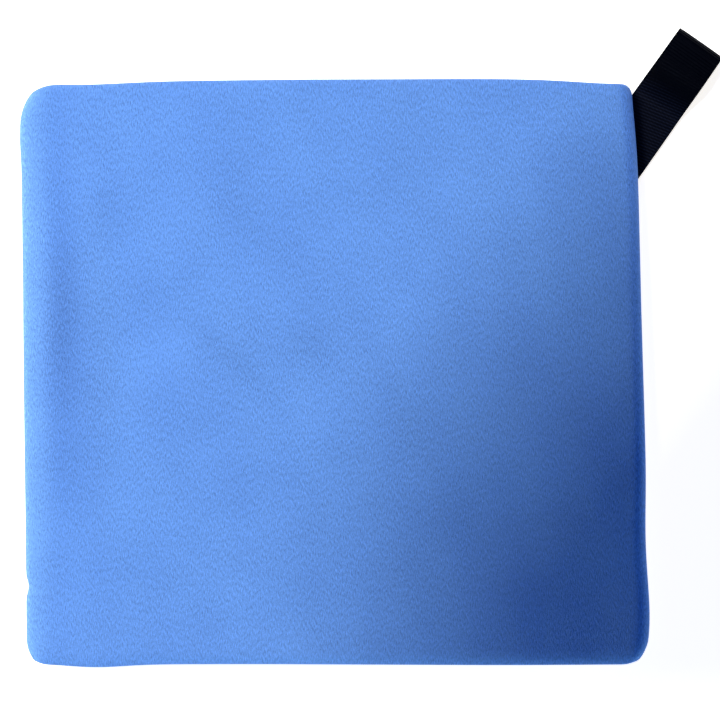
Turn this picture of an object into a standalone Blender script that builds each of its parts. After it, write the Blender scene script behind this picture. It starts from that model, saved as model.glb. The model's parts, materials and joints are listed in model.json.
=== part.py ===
"""Quick dry travel towel, folded flat into a pack, with a ribbon hanging loop.

The towel is one sheet of microfibre suede. It is folded in thirds across its width, so every
length of it is three plies, and then along its length: in half, and that in thirds like a Z.
The six lengths between the fold lines are the six cloth panels, numbered along the towel from
one short hem to the other. Each panel carries its share of the fold at each of its ends.

Frame: metres, +Z up, the middle of the pack's underside at the origin. X runs along the towel's
length, Y across its width, and the pack rests on Z = 0.
"""

import math

import bmesh
import bpy
from mathutils import Matrix, Vector

# The folded pack, outside its folds
PACK_X = 0.2000
PACK_Y = 0.1886

# The cloth
CLOTH_THICKNESS = 0.00045
PLY_PITCH = 0.0008  # from the middle of one ply to the middle of the next
PLIES = 3  # in each panel, from the folding in thirds
FOLD_GAP = 0.0002  # between two panels that share a fold, half-way round it
HIDDEN_EDGE_INSET = 0.0080  # how far the tucked-in long edge stops short of the pack's side
END_INSET = 0.0025  # how far the two short hems stop short of the pack's end

# The overlocked edging
HEM_WIDTH = 0.0020
SEAM_GAP = 0.0003  # between pieces that are sewn face to face

# The ribbon hanging loop
RIBBON_WIDTH = 0.0165
RIBBON_THICKNESS = 0.0005
TAIL_THICKNESS = 0.0006  # both ends of the ribbon, pressed where they are sewn
TAIL_LENGTH = 0.0210  # from the loop's hinge line back into the towel
LOOP_LENGTH = 0.0319  # from the hinge line to the far end
LOOP_HEIGHT = 0.0074
LOOP_ANGLE = math.radians(35.0)  # the ribbon's lie, from +Y towards +X
LOOP_PARTS_AT = 0.0080  # where the two plies start to part
LOOP_OPEN_AT = 0.0200  # where the upper ply reaches its full height
EYE_STARTS_AT = 0.0105  # where the gap between the plies starts
LOOP_HINGE_OUT = 0.0015  # the hinge line, out from the pack's end
LOOP_HINGE_Y = 0.0800  # where the ribbon's middle crosses the hinge line
LOOP_HINGE_GAP = 0.0003

# The stitching that holds the ribbon, and the label
BARTACK_LENGTH = 0.0120
BARTACK_WIDTH = 0.0010
BARTACKS_FROM_HINGE = (-0.0135, -0.0180)
LABEL_LENGTH = 0.0300
LABEL_WIDTH = 0.0048
LABEL_THICKNESS = 0.00035
LABEL_X = 0.0300

# Where the panels turn over when the towel is unfolded
HINGE_OUT = 0.0003  # out from the pack's end
FLAP_LIFT = 0.00785  # height of the opened top flap above the table, over the hanging loop

ARC_STEPS_WIDE = 5  # along a quarter turn of a wide fold
ARC_STEPS_TIGHT = 4

LEVELS = 2 * PLIES
PACK_Z = CLOTH_THICKNESS + PLY_PITCH * (LEVELS * PLIES - 1)
LOOP_HINGE_X = PACK_X / 2 + LOOP_HINGE_OUT
CLOTH_END_X = PACK_X / 2 - END_INSET

# Across the width: the middles of the two folds, and the cloth's two long edges
FOLD_2_RADIUS = PLY_PITCH / 2
FOLD_3_RADIUS = PLY_PITCH
LOW_FOLD_Y = -PACK_Y / 2 + FOLD_2_RADIUS + CLOTH_THICKNESS / 2
HIGH_FOLD_Y = PACK_Y / 2 - FOLD_3_RADIUS - CLOTH_THICKNESS / 2
HIDDEN_EDGE_Y = PACK_Y / 2 - HIDDEN_EDGE_INSET
OPEN_EDGE_Y = -PACK_Y / 2

COLOURS = {
    "microfibre_suede": ((0.14, 0.34, 0.86, 1.0), 0.92),
    "overlock_thread": ((0.11, 0.28, 0.74, 1.0), 0.80),
    "black_ribbon": ((0.006, 0.007, 0.011, 1.0), 0.62),
    "black_thread": ((0.010, 0.010, 0.014, 1.0), 0.70),
    "white_satin": ((0.80, 0.80, 0.78, 1.0), 0.45),
}


def level_z(level):
    """Height of the middle ply of a panel, counted in panels from the bottom."""
    return CLOTH_THICKNESS / 2 + PLY_PITCH * (PLIES * level + 1)


def clear_scene():
    for obj in list(bpy.data.objects):
        bpy.data.objects.remove(obj, do_unlink=True)


def new_collection(name):
    collection = bpy.data.collections.new(name)
    bpy.context.scene.collection.children.link(collection)
    return collection


def make_materials():
    made = {}
    for name, (colour, roughness) in COLOURS.items():
        material = bpy.data.materials.new(name)
        material.use_nodes = True
        shader = material.node_tree.nodes["Principled BSDF"]
        shader.inputs["Base Color"].default_value = colour
        shader.inputs["Roughness"].default_value = roughness
        shader.inputs["Metallic"].default_value = 0.0
        material.diffuse_color = colour
        made[name] = material
    return made


def empty_at(name, position, parent=None):
    empty = bpy.data.objects.new(name, None)
    empty.empty_display_size = 0.01
    parts.objects.link(empty)
    empty.location = Vector(position)
    if parent:
        empty.parent = parent
        empty.location = Vector(position) - parent.matrix_world.translation
    bpy.context.view_layer.update()
    return empty


def finish_node(obj, material, holder):
    """Give the piece its material and hang it on the empty of its body, where it lies."""
    obj.data.materials.clear()
    obj.data.materials.append(materials[material])
    obj.parent = holder
    obj.matrix_parent_inverse = holder.matrix_world.inverted()
    return obj


# The cloth's route along the pack, and its section across it


def quarter_turn(centre_x, centre_z, radius, start, end, steps):
    """Points round a quarter circle in the X-Z plane, each with the unit radius through it."""
    points = []
    for step in range(steps + 1):
        angle = math.radians(start + (end - start) * step / steps)
        radial = Vector((math.cos(angle), math.sin(angle)))
        points.append((Vector((centre_x, centre_z)) + radius * radial, radial))
    return points


def fold_end(level, other_level, side, centre_x):
    """The quarter turn at one end of a panel, from its flat run to half-way round the fold."""
    rise = (level_z(other_level) - level_z(level)) / 2
    up = 1 if rise > 0 else -1
    radius = abs(rise) - FOLD_GAP / 2
    steps = ARC_STEPS_WIDE if abs(rise) > 2 * PLY_PITCH else ARC_STEPS_TIGHT
    flat = -90 * up
    outward = 0 if side > 0 else -180 * up
    return quarter_turn(centre_x, level_z(level) + up * radius, radius, flat, outward, steps)


def wide_fold_x(side):
    radius = 1.5 * PLIES * PLY_PITCH - FOLD_GAP / 2
    return side * (PACK_X / 2 - radius - PLY_PITCH - CLOTH_THICKNESS / 2)


def half_fold_x():
    radius = 0.5 * PLIES * PLY_PITCH - FOLD_GAP / 2
    return -(PACK_X / 2 - radius - PLY_PITCH - CLOTH_THICKNESS / 2)


def panel_route(start, end):
    """A panel's points in the order that the cloth runs, with the cloth's normal at each."""
    return start[::-1] + end


def hem_end(level, x):
    return [(Vector((x, level_z(level))), Vector((0.0, 1.0)))]


def routes():
    """Each panel's route along the cloth, between the two short hems."""
    left, right = wide_fold_x(-1), wide_fold_x(1)
    hem_x = CLOTH_END_X - HEM_WIDTH - SEAM_GAP
    return {
        1: panel_route(hem_end(0, hem_x), fold_end(0, 3, -1, left)),
        2: panel_route(fold_end(3, 0, -1, left), fold_end(3, 4, 1, right)),
        3: panel_route(fold_end(4, 3, 1, right), fold_end(4, 5, -1, half_fold_x())),
        4: panel_route(fold_end(5, 4, -1, half_fold_x()), fold_end(5, 2, 1, right)),
        5: panel_route(fold_end(2, 5, 1, right), fold_end(2, 1, -1, left)),
        6: panel_route(fold_end(1, 2, -1, left), hem_end(1, hem_x)),
    }


def end_hem_route(level, outward):
    """The short run of a short hem, in the direction that the cloth runs there."""
    ends = hem_end(level, CLOTH_END_X) + hem_end(level, CLOTH_END_X - HEM_WIDTH)
    return ends[::-1] if outward else ends


def left_normals(route):
    """The route's normals, each turned to the left of the way the cloth runs."""
    normals = []
    last = len(route) - 1
    for i, (_, normal) in enumerate(route):
        along = route[min(i + 1, last)][0] - route[max(i - 1, 0)][0]
        left = Vector((-along.y, along.x))
        normals.append(normal if normal.dot(left) > 0 else -normal)
    return normals


def fold_section(centre_y, centre_n, radius, side, start, end, steps):
    """Points round a fold across the width, as (y, height on the left normal)."""
    points = []
    for step in range(steps + 1):
        angle = math.radians(start + (end - start) * step / steps)
        points.append(
            (centre_y + side * radius * math.cos(angle), centre_n + radius * math.sin(angle))
        )
    return points


def cloth_section(first_edge, last_edge):
    """The towel's width folded in thirds: inner third, outer third, and the third that closes it."""
    inner = [(first_edge, 0.0)]
    low = fold_section(LOW_FOLD_Y, FOLD_2_RADIUS, FOLD_2_RADIUS, -1, -90, 90, 4)
    high = fold_section(HIGH_FOLD_Y, 0.0, FOLD_3_RADIUS, 1, 90, -90, 6)
    return inner + low + high + [(last_edge, -PLY_PITCH)]


def swept_sheet(name, route, section, material, holder):
    """A strip of cloth: the section carried along the route, thickened evenly to both sides."""
    mesh = bpy.data.meshes.new(name)
    sheet = bmesh.new()
    rows = []
    for (place, _), normal in zip(route, left_normals(route)):
        row = []
        for y, height in section:
            x, z = place + height * normal
            row.append(sheet.verts.new((x, y, z)))
        rows.append(row)
    for row, following in zip(rows, rows[1:]):
        for i in range(len(section) - 1):
            sheet.faces.new((row[i], row[i + 1], following[i + 1], following[i]))
    sheet.to_mesh(mesh)
    sheet.free()
    mesh.shade_smooth()
    mesh.set_sharp_from_angle(angle=math.radians(50))
    obj = bpy.data.objects.new(name, mesh)
    parts.objects.link(obj)
    thicken = obj.modifiers.new("thickness", "SOLIDIFY")
    thicken.thickness = CLOTH_THICKNESS
    thicken.offset = 0.0
    thicken.use_even_offset = True
    return finish_node(obj, material, holder)


# The towel


def make_cloth(holders):
    section = cloth_section(HIDDEN_EDGE_Y - HEM_WIDTH - SEAM_GAP, OPEN_EDGE_Y + HEM_WIDTH + SEAM_GAP)
    hidden = [(HIDDEN_EDGE_Y, 0.0), (HIDDEN_EDGE_Y - HEM_WIDTH, 0.0)]
    opened = [(OPEN_EDGE_Y, -PLY_PITCH), (OPEN_EDGE_Y + HEM_WIDTH, -PLY_PITCH)]
    for number, route in routes().items():
        holder = holders[number]
        swept_sheet(f"cloth_panel_{number}", route, section, "microfibre_suede", holder)
        swept_sheet(f"inner_edge_hem_{number}", route, hidden, "overlock_thread", holder)
        swept_sheet(f"outer_edge_hem_{number}", route, opened, "overlock_thread", holder)
    whole = cloth_section(HIDDEN_EDGE_Y, OPEN_EDGE_Y)
    first = end_hem_route(0, outward=False)
    last = end_hem_route(1, outward=True)
    swept_sheet("end_hem_first", first, whole, "overlock_thread", holders[1])
    swept_sheet("end_hem_last", last, whole, "overlock_thread", holders[6])


# The ribbon


def ribbon_matrix():
    """Local X along the ribbon from the hinge line, local Y up, local Z across the ribbon."""
    along = Vector((math.sin(LOOP_ANGLE), math.cos(LOOP_ANGLE), 0.0))
    up = Vector((0.0, 0.0, 1.0))
    across = along.cross(up)
    turn = Matrix((along, up, across)).transposed().to_4x4()
    return Matrix.Translation((LOOP_HINGE_X, LOOP_HINGE_Y, 0.0)) @ turn


def outline_solid(name, outlines, width, collection):
    """A flat outline in the ribbon's side view, with holes, extruded across the ribbon."""
    curve = bpy.data.curves.new(name, "CURVE")
    curve.dimensions = "2D"
    curve.fill_mode = "BOTH"
    curve.extrude = width / 2
    for outline in outlines:
        spline = curve.splines.new("POLY")
        spline.points.add(len(outline) - 1)
        for point, (along, height) in zip(spline.points, outline):
            point.co = (along, height, 0.0, 1.0)
        spline.use_cyclic_u = True
    guide = bpy.data.objects.new(name + "_outline", curve)
    bpy.context.scene.collection.objects.link(guide)
    guide.matrix_world = ribbon_matrix()
    bpy.context.view_layer.update()
    graph = bpy.context.evaluated_depsgraph_get()
    mesh = bpy.data.meshes.new_from_object(guide.evaluated_get(graph))
    solid = bmesh.new()
    solid.from_mesh(mesh)
    bmesh.ops.remove_doubles(solid, verts=solid.verts, dist=0.000001)
    bmesh.ops.recalc_face_normals(solid, faces=solid.faces)
    solid.to_mesh(mesh)
    solid.free()
    mesh.name = name
    obj = bpy.data.objects.new(name, mesh)
    collection.objects.link(obj)
    obj.matrix_world = guide.matrix_world
    bpy.data.objects.remove(guide, do_unlink=True)
    return obj


def block(start, end, low, high):
    return [(start, low), (end, low), (end, high), (start, high)]


def slab_cutter(name, low_x, high_x):
    """A tall block across the whole ribbon between two planes of constant X."""
    bpy.ops.mesh.primitive_cube_add(size=1.0)
    cutter = bpy.context.active_object
    cutter.name = name
    for collection in cutter.users_collection:
        collection.objects.unlink(cutter)
    cutters.objects.link(cutter)
    cutter.scale = (high_x - low_x, 0.2, 0.1)
    cutter.location = ((low_x + high_x) / 2, LOOP_HINGE_Y, 0.0)
    return hide_cutter(cutter)


def hide_cutter(cutter):
    cutter.hide_render = True
    cutter.display_type = "WIRE"
    return cutter


def cut(obj, cutter, solver="EXACT"):
    boolean = obj.modifiers.new("cut_" + cutter.name, "BOOLEAN")
    boolean.operation = "DIFFERENCE"
    boolean.solver = solver
    boolean.object = cutter


def ease(t):
    t = min(max(t, 0.0), 1.0)
    return t * t * (3 - 2 * t)


def ribbon_side(along):
    """Heights of the loop's underside and of its top, at a distance from the hinge line."""
    middle = level_z(0)
    settle = ease((along + 0.002) / LOOP_PARTS_AT)
    under = (middle - TAIL_THICKNESS / 2) * (1 - settle)
    low_top = middle + TAIL_THICKNESS / 2
    opened = ease((along - LOOP_PARTS_AT) / (LOOP_OPEN_AT - LOOP_PARTS_AT))
    return under, low_top + (LOOP_HEIGHT - low_top) * opened


def far_end(radius, steps):
    """Half a circle round the loop's far end, from its underside to its top."""
    centre = LOOP_LENGTH - LOOP_HEIGHT / 2
    points = []
    for step in range(steps + 1):
        angle = math.pi * (step / steps - 0.5)
        height = LOOP_HEIGHT / 2 + radius * math.sin(angle)
        points.append((centre + radius * math.cos(angle), height))
    return points


def run(start, stop, steps):
    return [start + (stop - start) * i / steps for i in range(steps)]


def loop_outlines():
    """The loop in side view: its outside, and the eye between its two plies."""
    straight = LOOP_LENGTH - LOOP_HEIGHT / 2
    outside_run = run(-TAIL_LENGTH, straight, 26)
    under = [(a, ribbon_side(a)[0]) for a in outside_run]
    over = [(a, ribbon_side(a)[1]) for a in reversed(outside_run)]
    outside = under + far_end(LOOP_HEIGHT / 2, 10) + over
    eye_run = run(EYE_STARTS_AT, straight, 12)
    eye_under = [(a, ribbon_side(a)[0] + RIBBON_THICKNESS) for a in eye_run]
    eye_over = [(a, ribbon_side(a)[1] - RIBBON_THICKNESS) for a in reversed(eye_run)]
    eye = eye_under + far_end(LOOP_HEIGHT / 2 - RIBBON_THICKNESS, 8) + eye_over
    return [outside, eye]


def make_ribbon(bottom, hinge):
    half_gap = LOOP_HINGE_GAP / 2
    middle = level_z(0)
    low, high = middle - TAIL_THICKNESS / 2, middle + TAIL_THICKNESS / 2
    inboard = slab_cutter("inboard_of_hinge", LOOP_HINGE_X - 0.1, LOOP_HINGE_X + half_gap)
    outboard = slab_cutter("outboard_of_hinge", LOOP_HINGE_X - half_gap, LOOP_HINGE_X + 0.1)

    loop = outline_solid("hang_loop", loop_outlines(), RIBBON_WIDTH, parts)
    cut(loop, inboard, "MANIFOLD")
    finish_node(loop, "black_ribbon", hinge)

    tail_shape = [block(-TAIL_LENGTH, LOOP_LENGTH, low, high)]
    tail = outline_solid("hang_loop_tail", tail_shape, RIBBON_WIDTH, parts)
    cut(tail, outboard)
    finish_node(tail, "black_ribbon", bottom)

    for number, place in enumerate(BARTACKS_FROM_HINGE, 1):
        start, end = place - BARTACK_WIDTH / 2, place + BARTACK_WIDTH / 2
        bar_shape = [block(start, end, low, high)]
        bar = outline_solid(f"bartack_{number}", bar_shape, BARTACK_LENGTH, parts)
        finish_node(bar, "black_thread", bottom)
        slot_shape = [block(start - SEAM_GAP, end + SEAM_GAP, low - 0.001, high + 0.001)]
        slot_length = BARTACK_LENGTH + 2 * SEAM_GAP
        slot = outline_solid(f"bartack_slot_{number}", slot_shape, slot_length, cutters)
        cut(tail, hide_cutter(slot))


def cut_corner_for_ribbon():
    """The inner third's corner ends where the ribbon is sewn to it, one ply of room deep."""
    middle = level_z(0)
    half_room = PLY_PITCH / 2 + 0.0001
    room = [block(-TAIL_LENGTH - SEAM_GAP, LOOP_LENGTH, middle - half_room, middle + half_room)]
    cutter = outline_solid("ribbon_room", room, RIBBON_WIDTH + 2 * SEAM_GAP, cutters)
    hide_cutter(cutter)
    for name in ("cloth_panel_1", "inner_edge_hem_1", "end_hem_first"):
        cut(bpy.data.objects[name], cutter)


def make_label(bottom):
    """A small blank label, sewn flat to the tucked-in edge."""
    bpy.ops.mesh.primitive_cube_add(size=1.0)
    label = bpy.context.active_object
    label.name = "care_label"
    for collection in label.users_collection:
        collection.objects.unlink(label)
    parts.objects.link(label)
    centre_y = HIDDEN_EDGE_Y + SEAM_GAP + LABEL_WIDTH / 2
    size = Matrix.Diagonal((LABEL_LENGTH, LABEL_WIDTH, LABEL_THICKNESS, 1.0))
    label.data.transform(size)
    label.location = (LABEL_X, centre_y, level_z(0))
    bpy.context.view_layer.update()
    finish_node(label, "white_satin", bottom)


def build():
    bottom = empty_at("bottom", (0.0, 0.0, 0.0))
    middle = empty_at("middle_hinge", (-PACK_X / 2 - HINGE_OUT, 0.0, PACK_Z / 2))
    top_height = (PACK_Z + FLAP_LIFT) / 2
    top = empty_at("top_hinge", (PACK_X / 2 + HINGE_OUT, 0.0, top_height), middle)
    loop_hinge = empty_at("loop_hinge", (LOOP_HINGE_X, LOOP_HINGE_Y, level_z(0)), bottom)
    holders = {1: bottom, 2: middle, 3: top, 4: top, 5: middle, 6: bottom}
    make_cloth(holders)
    make_ribbon(bottom, loop_hinge)
    cut_corner_for_ribbon()
    make_label(bottom)


clear_scene()
parts = new_collection("quick_dry_towel")
cutters = new_collection("cutters")
materials = make_materials()
build()
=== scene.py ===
"""The looks of the quick dry towel: one suede sheet folded into a pack, with a ribbon loop.

The cloth is modelled along its own length. A strip of it is the width of the towel, folded in
thirds (the section), carried along the levels and folds of the pack (the route). Every piece is
first laid out in the plain pack of the CAD frame and then passes through one smooth change of
space, relax(), which rounds the pack's shoulders and corners, so neighbours keep their order.
The ribbon only takes its heights from it.

Metres, +Z up, in the CAD frame.
"""

import json
import math

import bmesh
import bpy
import numpy as np
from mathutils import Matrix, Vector

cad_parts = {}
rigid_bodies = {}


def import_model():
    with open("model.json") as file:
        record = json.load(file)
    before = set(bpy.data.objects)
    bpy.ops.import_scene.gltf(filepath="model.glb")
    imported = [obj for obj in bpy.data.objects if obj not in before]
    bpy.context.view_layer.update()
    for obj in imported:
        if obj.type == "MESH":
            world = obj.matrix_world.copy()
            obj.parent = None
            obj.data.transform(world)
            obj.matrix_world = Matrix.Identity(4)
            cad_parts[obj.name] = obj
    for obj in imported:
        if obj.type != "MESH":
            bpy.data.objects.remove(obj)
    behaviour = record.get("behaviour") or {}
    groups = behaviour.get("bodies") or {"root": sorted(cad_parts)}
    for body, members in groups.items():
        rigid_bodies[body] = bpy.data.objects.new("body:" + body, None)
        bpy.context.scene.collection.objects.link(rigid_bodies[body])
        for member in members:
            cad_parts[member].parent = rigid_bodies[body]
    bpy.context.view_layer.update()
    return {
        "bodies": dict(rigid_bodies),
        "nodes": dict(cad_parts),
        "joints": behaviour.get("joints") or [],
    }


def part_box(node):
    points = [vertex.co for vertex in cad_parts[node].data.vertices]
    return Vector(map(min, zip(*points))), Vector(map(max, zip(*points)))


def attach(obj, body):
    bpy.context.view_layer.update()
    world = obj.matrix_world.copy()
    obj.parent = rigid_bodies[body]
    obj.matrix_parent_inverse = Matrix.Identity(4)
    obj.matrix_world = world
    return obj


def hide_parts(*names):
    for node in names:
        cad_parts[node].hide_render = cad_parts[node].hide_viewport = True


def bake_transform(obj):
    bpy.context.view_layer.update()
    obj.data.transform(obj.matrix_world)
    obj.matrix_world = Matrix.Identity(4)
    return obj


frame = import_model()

# ---------------------------------------------------------------- sizes taken from the frame

PACK_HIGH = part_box("cloth_panel_4")[1]
HALF_X = PACK_HIGH.x
HALF_Y = PACK_HIGH.y
PACK_Z = PACK_HIGH.z
LEVELS = 6  # folds along the towel stack this many levels
PLIES = 3  # and folds across it put this many plies in each level
CAD_CLOTH = 0.00045  # thickness of one ply in the CAD
PLY_PITCH = (PACK_Z - CAD_CLOTH) / (LEVELS * PLIES - 1)
JOINTS = {joint["name"]: joint for joint in frame["joints"]}
LOOP_HINGE = Vector(JOINTS["loop_swing"]["pos_m"])
LOOP_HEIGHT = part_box("hang_loop")[1].z
END_HEM_LOW, END_HEM_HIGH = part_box("end_hem_first")
HIDDEN_EDGE_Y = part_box("inner_edge_hem_2")[1].y

# ---------------------------------------------------------------- the cloth

CLOTH_THICKNESS = 0.00054  # with the nap standing
JOIN_X = 0.0800  # where one strip of the sheet goes over into the next, deep in the pack
HEM_WIDTH = END_HEM_HIGH.x - END_HEM_LOW.x
HEM_HALF_SIZE = (HEM_WIDTH / 2, 0.00034)
HEM_OVERLAP = 0.0003  # how far the cloth's cut edge lies inside its hem
STITCH_PITCH = 0.0014
STITCH_STEP = STITCH_PITCH / 3
STITCH_WIDTHS = (0.94, 0.06)  # share of the bar's width between stitches, and what a stitch adds
STITCH_HEIGHTS = (0.82, 0.26)
BAR_SIDES = 8
BAR_SQUARENESS = 0.6  # 1 is an ellipse, and less is squarer

FINE_STEP = 0.0018  # grid on the face that shows
PLAIN_STEP = 0.0034
HIDDEN_STEP = 0.0080
EDGE_STEP = 0.0014  # grid near the pack's edges
EDGE_MARGIN = 0.0125
WIDE_FOLD_STEPS = 12
TIGHT_FOLD_STEPS = 7
PLY_FOLD_STEPS = (5, 7)  # at the low-y and high-y sides of the section

# ---------------------------------------------------------------- how the pack has relaxed

SHOULDER_LEFT = (0.0040, 0.0098)  # drop of the top face, and the width that it takes
SHOULDER_RIGHT = (0.0010, 0.0040)
SHOULDER_SIDE = (0.0019, 0.0055)  # at both the -Y and the +Y side
SHOULDER_POWER = 2.2
CORNERS = {(-1, 1): 0.0125, (1, 1): 0.0040, (-1, -1): 0.0075, (1, -1): 0.0085}  # radius by side
CORNER_FULLNESS = 0.92
CHANGE_END = (0.001, 0.006)  # distance past the right side where the change fades, and its span
WAVE_FADE_POWER = 1.5  # how fast the top face's waves fade down through the pack
NAP_LIFT = 0.00006  # the cloth with its nap is thicker than in the CAD, so the low plies rise
LEVEL_WOBBLE = 0.0008
LEVEL_EDGE = (0.80, 0.20)  # share of the half size where the levels' wobble starts, and its span
LEVEL_RHYTHM_X = (9.5, 14)  # how fast it changes from level to level, and along a side
LEVEL_RHYTHM_Y = (8.0, 17)

CREASE_Y = 0.012  # middle of the roll along the left side and of the valley beside it
ROLL_X, ROLL_WIDTH, ROLL_HEIGHT, ROLL_RHYTHM = -0.0905, 0.0055, 0.0007, 24
VALLEY_X, VALLEY_WIDTH, VALLEY_LENGTH, VALLEY_DEPTH = -0.0800, 0.0080, 0.055, 0.0008
VALLEY_LEAN, VALLEY_LEAN_Y = 0.10, 0.02
WAVE_BEND, WAVE_BEND_X, WAVE_BEND_Y = 0.6, 21, 17
TOP_WAVES = (  # direction in degrees, length, height and phase of each low wave of the top face
    (64, 0.070, 0.00028, 0.4),
    (31, 0.047, 0.00016, 2.1),
    (118, 0.036, 0.00010, 4.0),
    (82, 0.023, 0.00005, 1.2),
    (12, 0.017, 0.00003, 5.1),
)
SIDES = {  # shift, lean, and dents and swells as (place along the side, width, amount)
    "left": (0.0005, -0.006, ((-0.069, 0.0024, 0.0009), (0.077, 0.008, -0.0005))),
    "right": (
        0.0010,
        -0.026,
        ((-0.055, 0.018, -0.0009), (-0.098, 0.013, -0.0022), (0.096, 0.020, -0.0016)),
    ),
    "bottom": (0.0005, 0.0, ((-0.005, 0.042, 0.0003), (-0.077, 0.013, -0.0010))),
    "top": (0.0, 0.009, ((-0.080, 0.020, -0.0008), (0.098, 0.022, -0.0017))),
}
# painted light and shade of the top face's creases and swells, lighter or darker in its colour
PAINTED_CREASE_MARKS = (  # x, y, angle of the mark, half its length and width, and how much lighter it is painted
    (-0.0570, 0.0042, 60, 0.0120, 0.0075, 0.026),
    (-0.0342, 0.0058, -45, 0.0200, 0.0036, -0.034),
    (-0.0085, 0.0074, 80, 0.0100, 0.0085, -0.030),
    (-0.0325, 0.0555, 60, 0.0075, 0.0065, -0.015),
    (-0.0518, 0.0619, 80, 0.0110, 0.0060, 0.015),
    (0.0209, -0.0107, -66, 0.0240, 0.0042, -0.012),
    (-0.0742, 0.0555, 70, 0.0100, 0.0055, -0.022),
    (-0.0870, 0.0170, 90, 0.0260, 0.0055, -0.050),
    (-0.0745, 0.0080, 90, 0.0360, 0.0065, -0.036),
    (-0.0850, -0.0660, 90, 0.0280, 0.0090, 0.026),
    (0.0220, 0.0420, 80, 0.0160, 0.0090, 0.007),
)

# ---------------------------------------------------------------- the ribbon loop

RIBBON_THICKNESS = 0.00046
RIBBON_ROOT_WIDTH = 0.0174
RIBBON_TIP_WIDTH = 0.0168
RIBBON_OFFSET = -0.0006  # its middle, from the middle of the loop's hinge, towards the towel
RIBBON_ANGLE = math.radians(35.0)  # from +Y towards +X
RIBBON_TAIL = 0.0210  # length from the hinge back to the sewn ends
LOOP_LENGTH = 0.0326  # and out to the far end
RIB_PITCH = 0.0010
RIB_DEPTH = 0.00008
RIB_SKEW = 0.23  # the sewn end is pulled, so its ribs slant
RIB_SKEW_END = (0.010, 0.016)  # distance out where the slant starts to go, and over what length
RIB_STEPS = 7
RIB_SHINE_FADE = (0.008, 0.012)  # the painted highlight on the ribs fades from here out
RIB_SHINE_LOSS = 0.85
RIB_SHINE_POWER = 1.6
RIBBON_CUP = 0.00035  # how far its long edges curl down
CUP_START = (0.012, 0.020)
RIBBON_LANES = 14  # points across each face
RIBBON_EDGE_THINNING = 0.35
RIBBON_TABLE_GAP = 0.00007  # room for its ribs and edges above the table
PRESSED_LOW, PRESSED_HIGH = 0.00079, 0.00127  # heights of its two plies where they are sewn
LOW_PLY_SETTLES = (0.0985, 0.0085)  # x where the low ply leaves the cloth, and its way down
HIGH_PLY_OPENS = (0.0065, 0.0165)  # distance out where the high ply starts to rise, and its span
ROOM_ROUND_RIBBON = 0.0020
LONG_HEM_STOP_X = 0.0940  # the hems stop here, where the ribbon is sewn in their place
END_HEM_STOP_Y = 0.0570

BARTACK_PLACES = (-0.0135, -0.0180)  # distances out along the ribbon from the hinge
BARTACK_HEIGHT = 0.00103
BARTACK_LENGTH = 0.0120
BARTACK_HALF_SIZE = (0.0005, 0.00055)
BARTACK_PITCH = 0.0006
BARTACK_POINTS = 90

LABEL_GRID = (41, 9)
LABEL_THICKNESS = 0.00026
LABEL_RIPPLE = 0.00004
LABEL_RIPPLE_X, LABEL_RIPPLE_Y = 900, 300


def smooth(t):
    t = np.clip(t, 0.0, 1.0)
    return t * t * (3 - 2 * t)


def rise(value, start, span):
    """0 up to start, 1 from start + span on, and smooth between."""
    return smooth((value - start) / span)


def hump(value, centre, width):
    return np.exp(-(((value - centre) / width) ** 2))


# ---------------------------------------------------------------- the change of space


def shoulder(distance, drop, width):
    """How far the top face is down at a distance in from an edge: a rounded shoulder."""
    t = np.clip(1 - distance / width, 0.0, 1.0)
    return drop * (1 - np.sqrt(np.clip(1 - t**SHOULDER_POWER, 0.0, 1.0)))


def top_waves(x, y):
    """Height of the soft creases and swells of the top face."""
    swell = 0.5 + 0.5 * np.cos((y - CREASE_Y) * ROLL_RHYTHM)
    roll = ROLL_HEIGHT * hump(x, ROLL_X, ROLL_WIDTH) * swell
    valley_x = VALLEY_X + VALLEY_LEAN * (VALLEY_LEAN_Y - y)
    valley = -VALLEY_DEPTH * hump(x, valley_x, VALLEY_WIDTH) * hump(y, CREASE_Y, VALLEY_LENGTH)
    waves = np.zeros_like(x)
    for angle, length, height, phase in TOP_WAVES:
        along = x * math.cos(math.radians(angle)) + y * math.sin(math.radians(angle))
        bend = WAVE_BEND * np.sin(WAVE_BEND_X * x - WAVE_BEND_Y * y + phase)
        waves += height * np.sin(2 * math.pi * along / length + phase + bend)
    return roll + valley + waves


def painted_crease_light(x, y):
    """Painted light and shade of the top face's creases and swells, as lighter and darker marks."""
    painted_light = np.zeros_like(x)
    for centre_x, centre_y, angle, length, width, amount in PAINTED_CREASE_MARKS:
        cos, sin = math.cos(math.radians(angle)), math.sin(math.radians(angle))
        along = (x - centre_x) * cos + (y - centre_y) * sin
        across_mark = (y - centre_y) * cos - (x - centre_x) * sin
        painted_light += amount * hump(along, 0.0, length) * hump(across_mark, 0.0, width)
    return painted_light


def side_wander(side, along):
    """How far one side of the pack leans and wanders from straight, towards +X or +Y."""
    shift, lean, swells = SIDES[side]
    wander = shift + lean * along
    for place, width, amount in swells:
        wander = wander + amount * hump(along, place, width)
    return wander


def outline_shift(x, y):
    """The wander of the four sides, each fading out towards the one across from it."""
    to_right = smooth((x / HALF_X + 1) / 2)
    to_top = smooth((y / HALF_Y + 1) / 2)
    shift_x = side_wander("left", y) * (1 - to_right) + side_wander("right", y) * to_right
    shift_y = side_wander("bottom", x) * (1 - to_top) + side_wander("top", x) * to_top
    return shift_x, shift_y


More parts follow.
